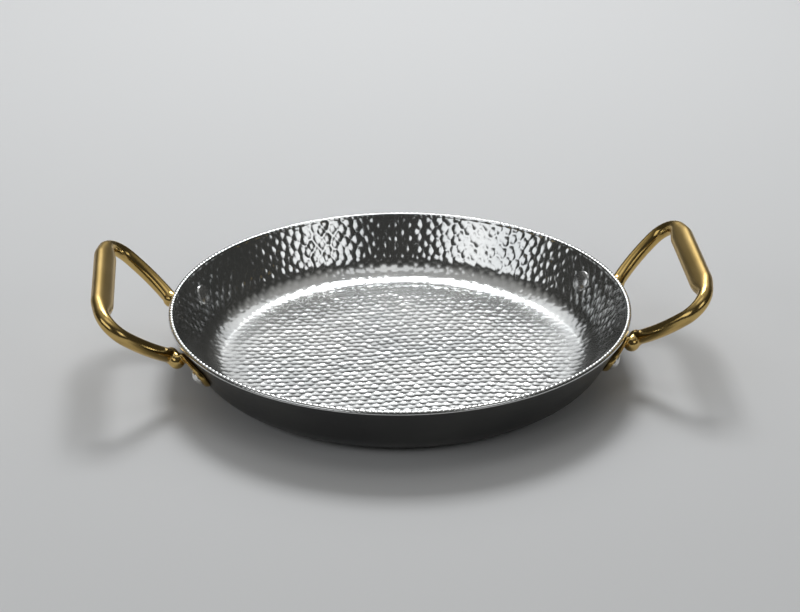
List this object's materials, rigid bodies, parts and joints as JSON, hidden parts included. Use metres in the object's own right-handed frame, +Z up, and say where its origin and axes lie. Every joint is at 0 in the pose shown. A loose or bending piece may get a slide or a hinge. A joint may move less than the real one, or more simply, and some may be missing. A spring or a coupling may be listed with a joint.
{
  "type": "two-handled pan",
  "caption": "Shallow round hammered steel pan with a flat floor, sloping wall and gold-coloured loop handles riveted to its wall.",
  "frame": {"origin": "centre of the flat underside, at the height of the surface that the pan stands on", "axes": "+X towards the right handle, along the line through both handles; +Z up, out of the open mouth"},
  "size_m": [0.3442, 0.26, 0.0638],
  "materials": {
    "hammered_steel": "hammered inside, dark satin outside",
    "gold_plating": "gold plated, polished rod with a satin grip",
    "rivet_steel": "polished"
  },
  "bodies": {
    "root": {"pan": "hammered_steel", "handle_left": "gold_plating", "handle_right": "gold_plating", "rivet_left_front": "rivet_steel", "rivet_left_back": "rivet_steel", "rivet_right_front": "rivet_steel", "rivet_right_back": "rivet_steel"}
  },
  "joints": []
}
